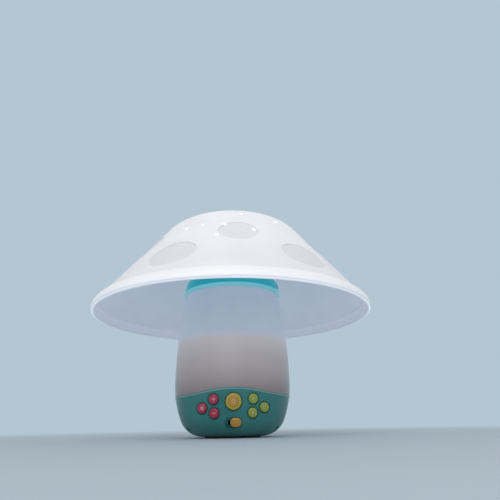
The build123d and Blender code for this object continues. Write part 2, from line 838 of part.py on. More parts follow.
# Slide knob: an oval cap in the tray, a neck through the wall and a plate in front of the switch
with BuildPart() as knob_neck:
    with BuildSketch(Plane.XZ.offset(switch_front + slide_clearance)):
        with Locations((knob_rest, switch_height)):
            Rectangle(knob_neck_length, knob_neck_height)
    extrude(amount=reach)
    add(body_form(0), mode=Mode.INTERSECT)
with BuildPart() as slide_knob:
    with BuildSketch(Plane.XZ.offset(guide_end)):
        with Locations((knob_rest, switch_height)):
            SlotOverall(knob_length, knob_height)
    extrude(amount=reach)
    add(body_form(-knob_proud), mode=Mode.INTERSECT)
    fillet(slide_knob.faces().sort_by(Axis.Y)[0].edges(), knob_edge_round)
    add(body_form(switch_tray_depth - 2 * switch_tray_gap), mode=Mode.SUBTRACT)
    add(knob_neck.part)
    with BuildSketch(Plane.XZ.offset(switch_front + slide_clearance)):
        with Locations((knob_rest, switch_height)):
            Rectangle(knob_plate_length, knob_plate_height)
    extrude(amount=knob_plate_thickness)
slide_knob.part.label = "slide_knob"
export_step(slide_knob.part, "parts/slide_knob.step")

# Slide switch body on the board
with BuildPart() as slide_switch:
    with BuildSketch(Plane.XZ.offset(board_front)):
        with Locations((0, switch_height)):
            Rectangle(switch_body_length, switch_body_height)
    extrude(amount=switch_body_depth)
slide_switch.part.label = "slide_switch"
export_step(slide_switch.part, "parts/slide_switch.step")

# Main board, upright behind the panel, with its lower corners cut off to clear the wall
with BuildPart() as main_board:
    with BuildSketch(Plane.XZ.offset(board_back)):
        with BuildLine():
            Polyline(
                (board_half_width - board_corner, board_bottom),
                (board_half_width, board_bottom + board_corner),
                (board_half_width, board_top),
                (-board_half_width, board_top),
                (-board_half_width, board_bottom + board_corner),
                (board_corner - board_half_width, board_bottom),
                close=True,
            )
        make_face()
        with Locations(*board_screw_both):
            Circle(screw_radius + slide_clearance, mode=Mode.SUBTRACT)
    extrude(amount=board_thickness)
main_board.part.label = "main_board"
export_step(main_board.part, "parts/main_board.step")

with BuildPart() as board_screws:
    for x, z in board_screw_both:
        with Locations(Location((x, -board_back, z), (90, 0, 0))):
            add(screw(board_screw_length))
board_screws.part.label = "board_screws"
export_step(board_screws.part, "parts/board_screws.step")

# Keypad: a silicone sheet with a dome behind each button
with BuildPart() as keypad:
    with BuildSketch(Plane.XZ.offset(board_front)):
        with Locations((0, (keypad_bottom + board_top) / 2)):
            Rectangle(2 * keypad_half_width, board_top - keypad_bottom)
        with Locations(*board_screw_both):
            Circle(board_post_radius + slide_clearance, mode=Mode.SUBTRACT)
    extrude(amount=keypad_web)
    dome_places = [(side * x, z) for x, z in button_sides.values() for side in (-1, 1)]
    dome_places.append(large_button_place)
    for x, z in dome_places:
        with BuildSketch(Plane.XZ.offset(keypad_front)):
            with Locations((x, z)):
                Circle(dome_radius)
        with BuildSketch(Plane.XZ.offset(dome_front)):
            with Locations((x, z)):
                Circle(dome_tip_radius)
        loft()
keypad.part.label = "keypad"
export_step(keypad.part, "parts/keypad.step")

# Battery box: an upright can with three bores, open to the door below
cell_places = [
    (cell_circle * cos(radians(360 * turn / cell_count)), cell_circle * sin(radians(360 * turn / cell_count)))
    for turn in range(cell_count)
]
with BuildPart() as battery_box:
    with BuildSketch(Plane.XY.offset(floor_top)):
        Circle(box_radius)
    extrude(amount=box_top - floor_top)
    with BuildSketch(Plane.XY.offset(floor_top)):
        with Locations(*cell_places):
            Circle(cell_radius + cell_gap)
    extrude(amount=box_ceiling - floor_top, mode=Mode.SUBTRACT)
battery_box.part.label = "battery_box"
export_step(battery_box.part, "parts/battery_box.step")

with BuildPart() as battery_cells:
    with BuildSketch(Plane.XY.offset(cell_bottom)):
        with Locations(*cell_places):
            Circle(cell_radius)
    extrude(amount=cell_length - cell_nub_length)
    with BuildSketch(Plane.XY.offset(cell_top - cell_nub_length)):
        with Locations(*cell_places):
            Circle(cell_nub_radius)
    extrude(amount=cell_nub_length)
battery_cells.part.label = "battery_cells"
export_step(battery_cells.part, "parts/battery_cells.step")

with BuildPart() as upper_contacts:
    with BuildSketch(Plane.XY.offset(cell_top)):
        with Locations(*cell_places):
            Circle(contact_radius)
    extrude(amount=contact_thickness)
upper_contacts.part.label = "upper_contacts"
export_step(upper_contacts.part, "parts/upper_contacts.step")

# Battery door with its three contact springs and its screw
with BuildPart() as battery_door:
    with BuildSketch(Plane.XY.offset(base_floor_height)):
        Circle(door_radius)
        with Locations((0, -door_screw_circle)):
            Circle(screw_radius + slide_clearance, mode=Mode.SUBTRACT)
    extrude(amount=door_thickness)
    with BuildSketch(Plane.XY.offset(base_floor_height)):
        with Locations((0, -door_screw_circle)):
            Circle(screw_head_radius + slide_clearance)
    extrude(amount=door_thickness / 2, mode=Mode.SUBTRACT)
battery_door.part.label = "battery_door"
export_step(battery_door.part, "parts/battery_door.step")

with BuildPart() as door_contacts:
    for x, y in cell_places:
        with BuildSketch(Plane.XY.offset(door_top)):
            with Locations((x, y)):
                Circle(contact_radius)
        with BuildSketch(Plane.XY.offset(cell_bottom)):
            with Locations((x, y)):
                Circle(cell_nub_radius)
        loft()
door_contacts.part.label = "door_contacts"
export_step(door_contacts.part, "parts/door_contacts.step")

with BuildPart() as door_screw:
    with Locations((0, -door_screw_circle, base_floor_height + door_thickness / 2)):
        add(screw(door_screw_length - door_thickness))
door_screw.part.label = "door_screw"
export_step(door_screw.part, "parts/door_screw.step")

# Speaker: frame with its basket, paper cone and magnet, facing the back
speaker_axis = Axis((0, 0, speaker_height), (0, 1, 0))
basket_back = speaker_front - speaker_rim_thickness - speaker_basket_depth
cone_back = speaker_front - speaker_cone_depth
with BuildPart() as speaker_frame:
    with BuildSketch(Plane.YZ):
        with BuildLine():
            Polyline(
                (basket_back, speaker_height),
                (basket_back, speaker_height + speaker_magnet_radius),
                (speaker_front - speaker_rim_thickness, speaker_height + speaker_radius - speaker_seat_ledge),
                (speaker_front - speaker_rim_thickness, speaker_height + speaker_radius),
                (speaker_front, speaker_height + speaker_radius),
                (speaker_front, speaker_height + speaker_radius - speaker_seat_ledge),
                (cone_back, speaker_height + speaker_magnet_radius / 2),
                (cone_back, speaker_height),
                close=True,
            )
        make_face()
    revolve(axis=speaker_axis)
speaker_frame.part.label = "speaker_frame"
export_step(speaker_frame.part, "parts/speaker_frame.step")

with BuildPart() as speaker_cone:
    with BuildSketch(Plane.YZ):
        with BuildLine():
            Polyline(
                (cone_back, speaker_height),
                (cone_back, speaker_height + speaker_magnet_radius / 2),
                (speaker_front, speaker_height + speaker_radius - speaker_seat_ledge),
                (speaker_front, speaker_height + speaker_radius - speaker_seat_ledge - speaker_cone_wall),
                (cone_back + speaker_cone_wall, speaker_height + speaker_magnet_radius / 2),
                (cone_back + speaker_cone_wall, speaker_height),
                close=True,
            )
        make_face()
    revolve(axis=speaker_axis)
speaker_cone.part.label = "speaker_cone"
export_step(speaker_cone.part, "parts/speaker_cone.step")

with BuildPart() as speaker_magnet:
    with BuildSketch(Plane.XZ.offset(-basket_back)):
        with Locations((0, speaker_height)):
            Circle(speaker_magnet_radius)
    extrude(amount=speaker_magnet_depth)
speaker_magnet.part.label = "speaker_magnet"
export_step(speaker_magnet.part, "parts/speaker_magnet.step")

# Reflector: a white disc on a tube that sleeves over the battery box, with the lamp board on it
with BuildPart() as reflector:
    tube_bottom = box_top - reflector_overlap
    with BuildSketch(Plane.XY.offset(tube_bottom)):
        Circle(box_radius + fit_clearance + box_wall)
    extrude(amount=reflector_height - tube_bottom)
    with BuildSketch(Plane.XY.offset(reflector_height)):
        Circle(stem_radius_at(reflector_top) - stem_wall - reflector_edge_gap)
    extrude(amount=reflector_thickness)
    with BuildSketch(Plane.XY.offset(tube_bottom)):
        Circle(box_radius + fit_clearance)
    extrude(amount=reflector_overlap, mode=Mode.SUBTRACT)
    with BuildSketch(Plane.XY.offset(box_top)):
        Circle(reflector_wire_bore)
    extrude(amount=reach, mode=Mode.SUBTRACT)
reflector.part.label = "reflector"
export_step(reflector.part, "parts/reflector.step")

with BuildPart() as lamp_board:
    with BuildSketch(Plane.XY.offset(reflector_top)):
        Circle(lamp_board_outer)
        Circle(lamp_board_inner, mode=Mode.SUBTRACT)
    extrude(amount=lamp_board_thickness)
lamp_board.part.label = "lamp_board"
export_step(lamp_board.part, "parts/lamp_board.step")


def led():
    """One round LED with its foot on the origin and its dome upwards."""
    with BuildPart() as one:
        Cylinder(led_radius, led_height - led_radius, align=(Align.CENTER, Align.CENTER, Align.MIN))
        with Locations((0, 0, led_height - led_radius)):
            Sphere(led_radius)
    return one.part


with BuildPart() as lamp_leds:
    with Locations((0, 0, reflector_top + lamp_board_thickness)):
        with PolarLocations(lamp_led_circle, lamp_led_count):
            add(led())
lamp_leds.part.label = "lamp_leds"
export_step(lamp_leds.part, "parts/lamp_leds.step")

# Star projector: a tower through the cap's sleeve, with a round board, one LED and a clear dome on top
with BuildPart() as star_tower:
    with BuildSketch(Plane.XY.offset(tower_seat_height)):
        Circle(tower_flange_radius)
    extrude(amount=tower_flange_thickness)
    with BuildSketch(Plane.XY.offset(tower_seat_height)):
        Circle(tower_radius)
    extrude(amount=tower_height)
    with BuildSketch(Plane.XY.offset(tower_seat_height)):
        Circle(tower_bore - tower_ledge_width)
    extrude(amount=tower_height, mode=Mode.SUBTRACT)
    with BuildSketch(Plane.XY.offset(tower_seat_height)):
        Circle(tower_bore)
    extrude(amount=star_board_bottom - tower_ledge_height - tower_seat_height, mode=Mode.SUBTRACT)
    with BuildSketch(Plane.XY.offset(star_board_bottom)):
        Circle(tower_bore)
    extrude(amount=star_board_thickness, mode=Mode.SUBTRACT)
    with BuildSketch(Plane.XY.offset(star_board_bottom - star_board_screw_length)):
        with PolarLocations(star_board_screw_circle, star_board_screw_count):
            Circle(screw_radius + fit_clearance)
    extrude(amount=star_board_screw_length, mode=Mode.SUBTRACT)
    with BuildSketch(Plane.XY.offset(tower_seat_height)):
        with PolarLocations(tower_screw_circle, tower_screw_count):
            Circle(screw_radius + fit_clearance)
    extrude(amount=tower_flange_thickness, mode=Mode.SUBTRACT)
star_tower.part.label = "star_tower"
export_step(star_tower.part, "parts/star_tower.step")

with BuildPart() as tower_screws:
    with Locations((0, 0, tower_seat_bottom)):
        with PolarLocations(tower_screw_circle, tower_screw_count):
            add(screw(tower_screw_length))
tower_screws.part.label = "tower_screws"
export_step(tower_screws.part, "parts/tower_screws.step")

with BuildPart() as star_board:
    with BuildSketch(Plane.XY.offset(star_board_bottom)):
        Circle(tower_bore - fit_clearance)
        with PolarLocations(star_board_screw_circle, star_board_screw_count):
            Circle(screw_head_radius + fit_clearance, mode=Mode.SUBTRACT)
    extrude(amount=star_board_thickness)
star_board.part.label = "star_board"
export_step(star_board.part, "parts/star_board.step")

with BuildPart() as star_board_screws:
    for turn in range(star_board_screw_count):
        angle = radians(360 * turn / star_board_screw_count)
        foot = (star_board_screw_circle * cos(angle), star_board_screw_circle * sin(angle), star_board_bottom)
        with Locations(Location(foot, (180, 0, 0))):
            add(screw(star_board_screw_length))
star_board_screws.part.label = "star_board_screws"
export_step(star_board_screws.part, "parts/star_board_screws.step")

with BuildPart() as star_led:
    with Locations((0, 0, star_board_top)):
        add(led())
star_led.part.label = "star_led"
export_step(star_led.part, "parts/star_led.step")

lens_spring = tower_top + lens_flange_thickness
with BuildPart() as projector_lens:
    with BuildSketch(Plane.XZ):
        with BuildLine():
            Polyline(
                (lens_radius - lens_wall, lens_spring),
                (lens_radius - lens_wall, tower_top),
                (tower_radius, tower_top),
                (tower_radius, lens_spring),
                (lens_radius, lens_spring),
            )
            TangentArc((lens_radius, lens_spring), (0, lens_spring + lens_radius), tangent=(0, 1))
            Line((0, lens_spring + lens_radius), (0, lens_spring + lens_radius - lens_wall))
            TangentArc(
                (0, lens_spring + lens_radius - lens_wall),
                (lens_radius - lens_wall, lens_spring),
                tangent=(1, 0),
            )
        make_face()
    revolve(axis=Axis.Z)
projector_lens.part.label = "projector_lens"
export_step(projector_lens.part, "parts/projector_lens.step")
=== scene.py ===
# %% [markdown]
# # A mushroom-shaped projector light
# The real thing is a nursery light: a white cap lifts off a milky stem, which stands in a turquoise base
# with coloured buttons. The construction is already made to size, so this lesson only dresses it: camera,
# finishes, raised signs on the buttons, and light.

# %% Load the construction
import json
import math

import bmesh
import bpy
from mathutils import Euler, Matrix, Vector
from mathutils.bvhtree import BVHTree


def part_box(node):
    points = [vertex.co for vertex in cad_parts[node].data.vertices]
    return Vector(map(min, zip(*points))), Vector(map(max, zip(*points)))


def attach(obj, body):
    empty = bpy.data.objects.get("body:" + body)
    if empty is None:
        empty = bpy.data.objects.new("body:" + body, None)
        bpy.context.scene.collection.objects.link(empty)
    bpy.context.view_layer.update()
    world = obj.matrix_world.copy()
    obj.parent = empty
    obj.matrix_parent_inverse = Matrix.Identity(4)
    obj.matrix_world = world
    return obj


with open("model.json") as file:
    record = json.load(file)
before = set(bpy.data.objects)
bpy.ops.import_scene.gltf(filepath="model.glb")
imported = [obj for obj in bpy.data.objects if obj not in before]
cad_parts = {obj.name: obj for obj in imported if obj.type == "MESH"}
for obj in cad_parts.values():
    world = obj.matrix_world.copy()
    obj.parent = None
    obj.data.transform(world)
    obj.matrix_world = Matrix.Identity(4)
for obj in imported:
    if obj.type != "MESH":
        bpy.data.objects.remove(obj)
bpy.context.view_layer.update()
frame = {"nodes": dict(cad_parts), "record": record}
mm = 0.001
nodes = frame["nodes"]
scene = bpy.context.scene
scene.view_settings.view_transform = "Standard"

# %% [markdown]
# ## Camera
# The viewer's eye is almost on the table and looks up under the cap. A level camera with a shift could
# frame this too, but the upright edges lean in towards the top, which only a camera that is really tilted
# up shows.

# %% Camera
eye = Vector((-4.6, -389.4, 9.5)) * mm
heading = math.radians(3.15)
pitch = math.radians(21.53)
roll = math.radians(-1.1)
sensor_width = 36.0
image_width = 500.0
focal_pixels = 442.1
camera_data = bpy.data.cameras.new("camera")
camera_data.sensor_width = sensor_width
camera_data.lens = focal_pixels / image_width * sensor_width
camera_data.clip_start = 0.01
camera = bpy.data.objects.new("camera", camera_data)
scene.collection.objects.link(camera)
turn = Euler((math.pi / 2 + pitch, 0, -heading)).to_matrix() @ Matrix.Rotation(roll, 3, "Z")
camera.matrix_world = Matrix.Translation(eye) @ turn.to_4x4()
scene.camera = camera
print("lens", round(camera_data.lens, 2), "mm")

# %% [markdown]
# ## Helpers for finishes
# Colours are picked as they look on a screen, so one function turns a hex value into the linear numbers
# that a shader works in. A second one adds a node with its settings and links, so that each finish reads as
# a short list.

# %% Helpers for finishes
def linear(hex_color):
    """A screen colour such as #4bb5b0 as linear red, green, blue and alpha."""
    channels = [int(hex_color[start : start + 2], 16) / 255 for start in (1, 3, 5)]
    return [c / 12.92 if c <= 0.04045 else ((c + 0.055) / 1.055) ** 2.4 for c in channels] + [1.0]


def add_node(tree, kind, inputs=None, **settings):
    """Adds a node, sets its own settings, and gives its sockets values or links."""
    node = tree.nodes.new(kind)
    for name, value in settings.items():
        setattr(node, name, value)
    for socket, value in (inputs or {}).items():
        if isinstance(value, bpy.types.NodeSocket):
            tree.links.new(value, node.inputs[socket])
        else:
            node.inputs[socket].default_value = value
    return node


def start_finish(name, **sockets):
    """A new material with its shader's plain values set, and a node that gives Object coordinates."""
    material = bpy.data.materials.new(name)
    material.use_nodes = True
    tree = material.node_tree
    shader = tree.nodes["Principled BSDF"]
    for socket, value in sockets.items():
        shader.inputs[socket.replace("_", " ")].default_value = value
    place = add_node(tree, "ShaderNodeTexCoord").outputs["Object"]
    return material, tree, shader, place


def per_mm(size):
    """The texture scale at which one feature is about this many millimetres wide."""
    return 1 / (size * mm)


finishes = {}

# %% [markdown]
# ## Moulded plastics
# Nearly every piece is injection moulded. Such plastic has a fine orange-peel skin from the mould, faint
# flow clouds in its colour, and patches that are a little shinier where the melt met polished steel. One
# function gives all three at their real sizes, and each piece sets its own colours and gloss.

# %% Moulded plastics
# Widths in millimetres of the flow clouds, the patches of gloss and the peel of the skin
cloud_size = 28.0
gloss_size = 9.0
peel_size = 1.1
peel_relief = 0.012 * mm
plastic_ior = 1.5


def moulded_plastic(name, color, cloud_color, roughness, **sockets):
    """Injection-moulded plastic: a fine peel on the skin, soft flow clouds and uneven gloss."""
    material, tree, shader, place = start_finish(name, IOR=plastic_ior, **sockets)
    clouds = add_node(
        tree, "ShaderNodeTexNoise", {"Vector": place, "Scale": per_mm(cloud_size), "Detail": 2.0}
    )
    share = add_node(
        tree,
        "ShaderNodeMapRange",
        {"Value": clouds.outputs["Fac"], "From Min": 0.35, "From Max": 0.65},
        interpolation_type="SMOOTHSTEP",
    )
    tint = add_node(
        tree,
        "ShaderNodeMix",
        {"Factor": share.outputs["Result"], 6: linear(color), 7: linear(cloud_color)},
        data_type="RGBA",
    )
    tree.links.new(tint.outputs[2], shader.inputs["Base Color"])
    gloss = add_node(
        tree, "ShaderNodeTexNoise", {"Vector": place, "Scale": per_mm(gloss_size), "Detail": 3.0}
    )
    rough = add_node(
        tree,
        "ShaderNodeMapRange",
        {"Value": gloss.outputs["Fac"], "To Min": roughness - 0.05, "To Max": roughness + 0.07},
    )
    tree.links.new(rough.outputs["Result"], shader.inputs["Roughness"])
    peel = add_node(tree, "ShaderNodeTexNoise", {"Vector": place, "Scale": per_mm(peel_size), "Detail": 1.0})
    bump = add_node(
        tree,
        "ShaderNodeBump",
        {"Height": peel.outputs["Fac"], "Strength": 0.35, "Distance": peel_relief},
    )
    tree.links.new(bump.outputs["Normal"], shader.inputs["Normal"])
    return material, tree, shader, tint


# Polished moulds give the buttons tight highlights over strong, even colours
finishes["pink_plastic"] = moulded_plastic("moulded_abs_pink", "#a02e45", "#a8354c", 0.2)[0]
finishes["yellow_plastic"] = moulded_plastic("moulded_abs_yellow", "#ab983d", "#b2a045", 0.22)[0]
finishes["orange_plastic"] = moulded_plastic("moulded_abs_orange", "#b0853a", "#b78d42", 0.22)[0]
finishes["lime_plastic"] = moulded_plastic("moulded_abs_lime", "#82963f", "#8a9e47", 0.22)[0]
# Inner parts come from plain moulds, so their white and black are duller
finishes["white_plastic"] = moulded_plastic("moulded_abs_white", "#e2e3e4", "#e8e9ea", 0.38)[0]
finishes["switch_black"] = moulded_plastic("moulded_nylon_black", "#1d1d1f", "#242427", 0.5)[0]
print("plastics", sorted(finishes))

# %% [markdown]
# ## Depth under the cap's skin
# The projector shines inside the cap, so the inner surfaces get a painted gleam and the outer ones don't.
# What tells them apart is the depth under the outer skin, which is a cone below the crease, a dome above it
# and a round bead along the rim. Cone and dome share what lies in both, so the smaller depth counts there.
# The bead is added to them, so with it the larger does.

# %% Depth under the cap's skin
# Radius and height of the points between which the skin runs, and how far the rim's bead stands out
skin_foot = (114.0 * mm, 107.3 * mm)
skin_crease = (57.0 * mm, 177.3 * mm)
skin_rim = (120.0 * mm, 99.6 * mm)
bead_bulge = 1.6 * mm
# Up to the first depth a surface counts as outer skin, and from the second on as an inner one
outer_depth = 1.2 * mm
inner_depth = 1.7 * mm
skin_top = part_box("cap")[1].z
crown_rise = skin_top - skin_crease[1]
skin_slope = math.atan2(skin_crease[1] - skin_foot[1], skin_foot[0] - skin_crease[0])
dome_radius = (skin_crease[0] ** 2 + crown_rise**2) / (2 * crown_rise)
dome_middle = (0, 0, skin_top - dome_radius)
bead_chord = Vector(skin_rim) - Vector(skin_foot)
bead_radius = bead_chord.length**2 / (8 * bead_bulge) + bead_bulge / 2
bead_outwards = Vector((-bead_chord.y, bead_chord.x)).normalized()
bead_middle = (Vector(skin_foot) + Vector(skin_rim)) / 2 - bead_outwards * (bead_radius - bead_bulge)


def ring_radius(tree):
    """The distance from the upright axis."""
    place = add_node(tree, "ShaderNodeTexCoord").outputs["Object"]
    flat = add_node(
        tree, "ShaderNodeVectorMath", {0: place, 1: (1, 1, 0)}, operation="MULTIPLY"
    ).outputs[0]
    return add_node(tree, "ShaderNodeVectorMath", {0: flat}, operation="LENGTH").outputs["Value"]


def depth_under_skin(tree):
    """How far a point lies under the cap's outer skin."""
    place = add_node(tree, "ShaderNodeTexCoord").outputs["Object"]
    height = add_node(tree, "ShaderNodeSeparateXYZ", {0: place}).outputs["Z"]
    ring = ring_radius(tree)
    inwards = add_node(
        tree, "ShaderNodeMath", {0: skin_foot[0], 1: ring}, operation="SUBTRACT"
    ).outputs[0]
    below = add_node(
        tree, "ShaderNodeMath", {0: skin_foot[1], 1: height}, operation="SUBTRACT"
    ).outputs[0]
    across = add_node(
        tree, "ShaderNodeMath", {0: inwards, 1: math.sin(skin_slope)}, operation="MULTIPLY"
    ).outputs[0]
    under_cone = add_node(
        tree, "ShaderNodeMath", {0: below, 1: math.cos(skin_slope), 2: across}, operation="MULTIPLY_ADD"
    ).outputs[0]
    to_middle = add_node(tree, "ShaderNodeVectorMath", {0: place, 1: dome_middle}, operation="DISTANCE")
    under_dome = add_node(
        tree, "ShaderNodeMath", {0: dome_radius, 1: to_middle.outputs["Value"]}, operation="SUBTRACT"
    ).outputs[0]
    under_both = add_node(
        tree, "ShaderNodeMath", {0: under_cone, 1: under_dome}, operation="MINIMUM"
    ).outputs[0]
    profile = add_node(tree, "ShaderNodeCombineXYZ", {"X": ring, "Y": height}).outputs[0]
    to_bead = add_node(
        tree, "ShaderNodeVectorMath", {0: profile, 1: (*bead_middle, 0)}, operation="DISTANCE"
    )
    under_bead = add_node(
        tree, "ShaderNodeMath", {0: bead_radius, 1: to_bead.outputs["Value"]}, operation="SUBTRACT"
    ).outputs[0]
    return add_node(
        tree, "ShaderNodeMath", {0: under_both, 1: under_bead}, operation="MAXIMUM"
    ).outputs[0]


print("cone of", round(math.degrees(skin_slope), 1), "degrees, dome of", round(dome_radius / mm), "mm")

# %% [markdown]
# ## Cap
# The cap is satin white polypropylene, thin enough to let a little light through, with large round spots
# that are a shade greyer. The spots are a ring pattern, so they are worked out from the angle round the
# axis, folded into one sixth of a turn, and the distance along the cone. That keeps them oval on the
# sloping surface. Their floor has the grain of a spark-eroded mould, drawn coarser than life so that it
# shows.

# %% Cap
spot_turn = math.radians(2.7)
spot_step = math.radians(60)
# Ring radius, half width and half height of the spots in the two rings
upper_spots = (81.0 * mm, 15.5 * mm, 13.9 * mm)
lower_spots = (98.5 * mm, 19.3 * mm, 15.5 * mm)
cone_stretch = 1 / math.cos(skin_slope)
spot_edge = 0.05
# The grain of a real spark-eroded mould is finer than this, which is as fine as the picture can show
grain_size = 1.6
least_grain = 0.55

# Satin polypropylene spreads its highlight wide and lets some light soak in, so the white looks soft
cap_finish, tree, shader, cap_tint = moulded_plastic(
    "moulded_polypropylene_white",
    "#e9e9ed",
    "#ededf1",
    0.46,
    Subsurface_Weight=0.25,
    Subsurface_Radius=(0.004, 0.004, 0.0045),
    Subsurface_Scale=1.0,
    Emission_Strength=1.0,
)
place = add_node(tree, "ShaderNodeTexCoord").outputs["Object"]
axes = add_node(tree, "ShaderNodeSeparateXYZ", {0: place}).outputs
forwards = add_node(tree, "ShaderNodeMath", {0: axes["Y"], 1: -1.0}, operation="MULTIPLY").outputs[0]
azimuth = add_node(tree, "ShaderNodeMath", {0: axes["X"], 1: forwards}, operation="ARCTAN2").outputs[0]
ring = ring_radius(tree)
spot_shares = []
for first, (ring_place, half_width, half_height) in (
    (spot_turn, upper_spots),
    (spot_turn + spot_step / 2, lower_spots),
):
    from_first = add_node(
        tree, "ShaderNodeMath", {0: azimuth, 1: first}, operation="SUBTRACT"
    ).outputs[0]
    folded = add_node(
        tree, "ShaderNodeMath", {0: from_first, 1: spot_step / 2, 2: -spot_step / 2}, operation="WRAP"
    ).outputs[0]
    across_share = add_node(tree, "ShaderNodeMath", {0: folded}, operation="SINE").outputs[0]
    sideways = add_node(
        tree, "ShaderNodeMath", {0: across_share, 1: ring}, operation="MULTIPLY"
    ).outputs[0]
    across = add_node(tree, "ShaderNodeMath", {0: sideways, 1: half_width}, operation="DIVIDE").outputs[0]
    outwards = add_node(
        tree, "ShaderNodeMath", {0: ring, 1: ring_place}, operation="SUBTRACT"
    ).outputs[0]
    along = add_node(
        tree, "ShaderNodeMath", {0: outwards, 1: cone_stretch / half_height}, operation="MULTIPLY"
    ).outputs[0]
    spread = add_node(tree, "ShaderNodeCombineXYZ", {"X": across, "Y": along}).outputs[0]
    reach = add_node(tree, "ShaderNodeVectorMath", {0: spread}, operation="LENGTH").outputs["Value"]
    inside = add_node(
        tree,
        "ShaderNodeMapRange",
        {"Value": reach, "From Min": 1 + spot_edge, "From Max": 1 - spot_edge},
        interpolation_type="SMOOTHSTEP",
    )
    spot_shares.append(inside.outputs["Result"])
spots = add_node(
    tree, "ShaderNodeMath", {0: spot_shares[0], 1: spot_shares[1]}, operation="MAXIMUM"
).outputs[0]
grain = add_node(
    tree, "ShaderNodeTexNoise", {"Vector": place, "Scale": per_mm(grain_size), "Detail": 1.0}
)
grain_share = add_node(
    tree,
    "ShaderNodeMapRange",
    {"Value": grain.outputs["Fac"], "From Min": 0.3, "From Max": 0.7, "To Min": least_grain},
).outputs["Result"]
spot_share = add_node(tree, "ShaderNodeMath", {0: spots, 1: grain_share}, operation="MULTIPLY").outputs[0]
spotted = add_node(
    tree,
    "ShaderNodeMix",
    {"Factor": spot_share, 6: cap_tint.outputs[2], 7: linear("#dcdbde")},
    data_type="RGBA",
)
print("cap spots on rings of", round(upper_spots[0] / mm, 1), "and", round(lower_spots[0] / mm, 1), "mm")

# %% [markdown]
# ## Cap's rim and inside
# Less light from inside reaches the lower part of the cap, so it is painted a shade darker, and the rolled
# rim below gets a painted highlight in a purer white. The inside gleams in the projector's light, and so does
# the edge. Real light inside would need many bounces through the thin wall, so a faint painted glow of the
# inner surfaces and the edge stands in for it.

# %% Cap's rim and inside
# Radii between which the cap's lower part gets painted shade, its rim a painted highlight in purer white, and
# its edge a painted glow
shade_start = 80.0 * mm
shade_full = 105.0 * mm
rim_highlight_start = 113.5 * mm
rim_highlight_full = 114.3 * mm
edge_start = 117.2 * mm
edge_full = 118.8 * mm
cap_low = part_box("cap")[0].z
# The edge's painted gleam creeps up the outside of the rim, and fades from a share of it to none
gleam_rise = 6.0 * mm
gleam_full = 1.0 * mm
outer_gleam = 0.3

# Painted shade: the lower part of the cap is darker
shade_share = add_node(
    tree, "ShaderNodeMapRange", {"Value": ring, "From Min": shade_start, "From Max": shade_full}
).outputs["Result"]
shaded = add_node(
    tree,
    "ShaderNodeMix",
    {"Factor": shade_share, 6: spotted.outputs[2], 7: linear("#f8f8f8")},
    data_type="RGBA",
    blend_type="MULTIPLY",
)
# Painted highlight: the rolled rim is a purer white
rim_highlight_share = add_node(
    tree,
    "ShaderNodeMapRange",
    {"Value": ring, "From Min": rim_highlight_start, "From Max": rim_highlight_full},
    interpolation_type="SMOOTHSTEP",
).outputs["Result"]
rim_highlighted = add_node(
    tree,
    "ShaderNodeMix",
    {"Factor": rim_highlight_share, 6: shaded.outputs[2], 7: linear("#efeff2")},
    data_type="RGBA",
)
tree.links.new(rim_highlighted.outputs[2], shader.inputs["Base Color"])
# Painted glow: the inner surfaces and the edge gleam as if lit by the projector
inner_share = add_node(
    tree,
    "ShaderNodeMapRange",
    {"Value": depth_under_skin(tree), "From Min": outer_depth, "From Max": inner_depth},
).outputs["Result"]
edge_share = add_node(
    tree, "ShaderNodeMapRange", {"Value": ring, "From Min": edge_start, "From Max": edge_full}
).outputs["Result"]
painted_lip_light_share = add_node(
    tree,
    "ShaderNodeMapRange",
    {
        "Value": axes["Z"],
        "From Min": cap_low + gleam_rise,
        "From Max": cap_low + gleam_full,
        "To Max": outer_gleam,
    },
).outputs["Result"]
outer_share = add_node(
    tree, "ShaderNodeMath", {0: painted_lip_light_share, 1: edge_share}, operation="MULTIPLY"
).outputs[0]
gleam_share = add_node(
    tree, "ShaderNodeMath", {0: inner_share, 1: outer_share}, operation="MAXIMUM"
).outputs[0]
rim_gleam = add_node(
    tree,
    "ShaderNodeMix",
    {"Factor": edge_share, 6: linear("#5a5e68"), 7: linear("#9fa2a9")},
    data_type="RGBA",
)
gleam = add_node(
    tree,
    "ShaderNodeMix",
    {"Factor": gleam_share, 6: linear("#000000"), 7: rim_gleam.outputs[2]},
    data_type="RGBA",
)
tree.links.new(gleam.outputs[2], shader.inputs["Emission Color"])
finishes["cap_plastic"] = cap_finish
print("cap rim from", round(rim_highlight_start / mm, 1), "mm on, edge from", round(edge_start / mm, 1), "mm on")

# %% [markdown]
# ## Star liner
# A thin frosted liner lies inside the cap, and its raised stars fill the openings. The star tops get a bright
# painted glow for the projector's light, and the rest only a faint painted glow. The tops are the one part of
# the liner that comes close to the cap's outer skin, so the same depth picks them out.

# %% Star liner
# Frosted polypropylene scatters what passes through it, so it looks like dull white plastic; the lit stars
# are a painted glow
liner_finish, tree, shader, _ = moulded_plastic(
    "moulded_polypropylene_frosted", "#e6e8ee", "#ebedf2", 0.42, Emission_Strength=1.0
)
star_glow_share = add_node(
    tree,
    "ShaderNodeMapRange",
    {"Value": depth_under_skin(tree), "From Min": inner_depth, "From Max": outer_depth},
).outputs["Result"]
painted_star_glow = add_node(
    tree,
    "ShaderNodeMix",
    {"Factor": star_glow_share, 6: linear("#636771"), 7: linear("#fafcff")},
    data_type="RGBA",
)
tree.links.new(painted_star_glow.outputs[2], shader.inputs["Emission Color"])
finishes["liner_plastic"] = liner_finish
print("star tops glow on", liner_finish.name)

# %% [markdown]
# ## Stem
# The stem is a milky shell with a painted glow. A white disc inside ends the lit space, so a soft level line
# shows
# across the stem where the light stops: cooler above it, warmer and a little darker below, and darker still
# towards the foot, all painted light and shade. Light alone would need a lamp inside, so the painted colour
# and glow follow the height, which stays right in any light.

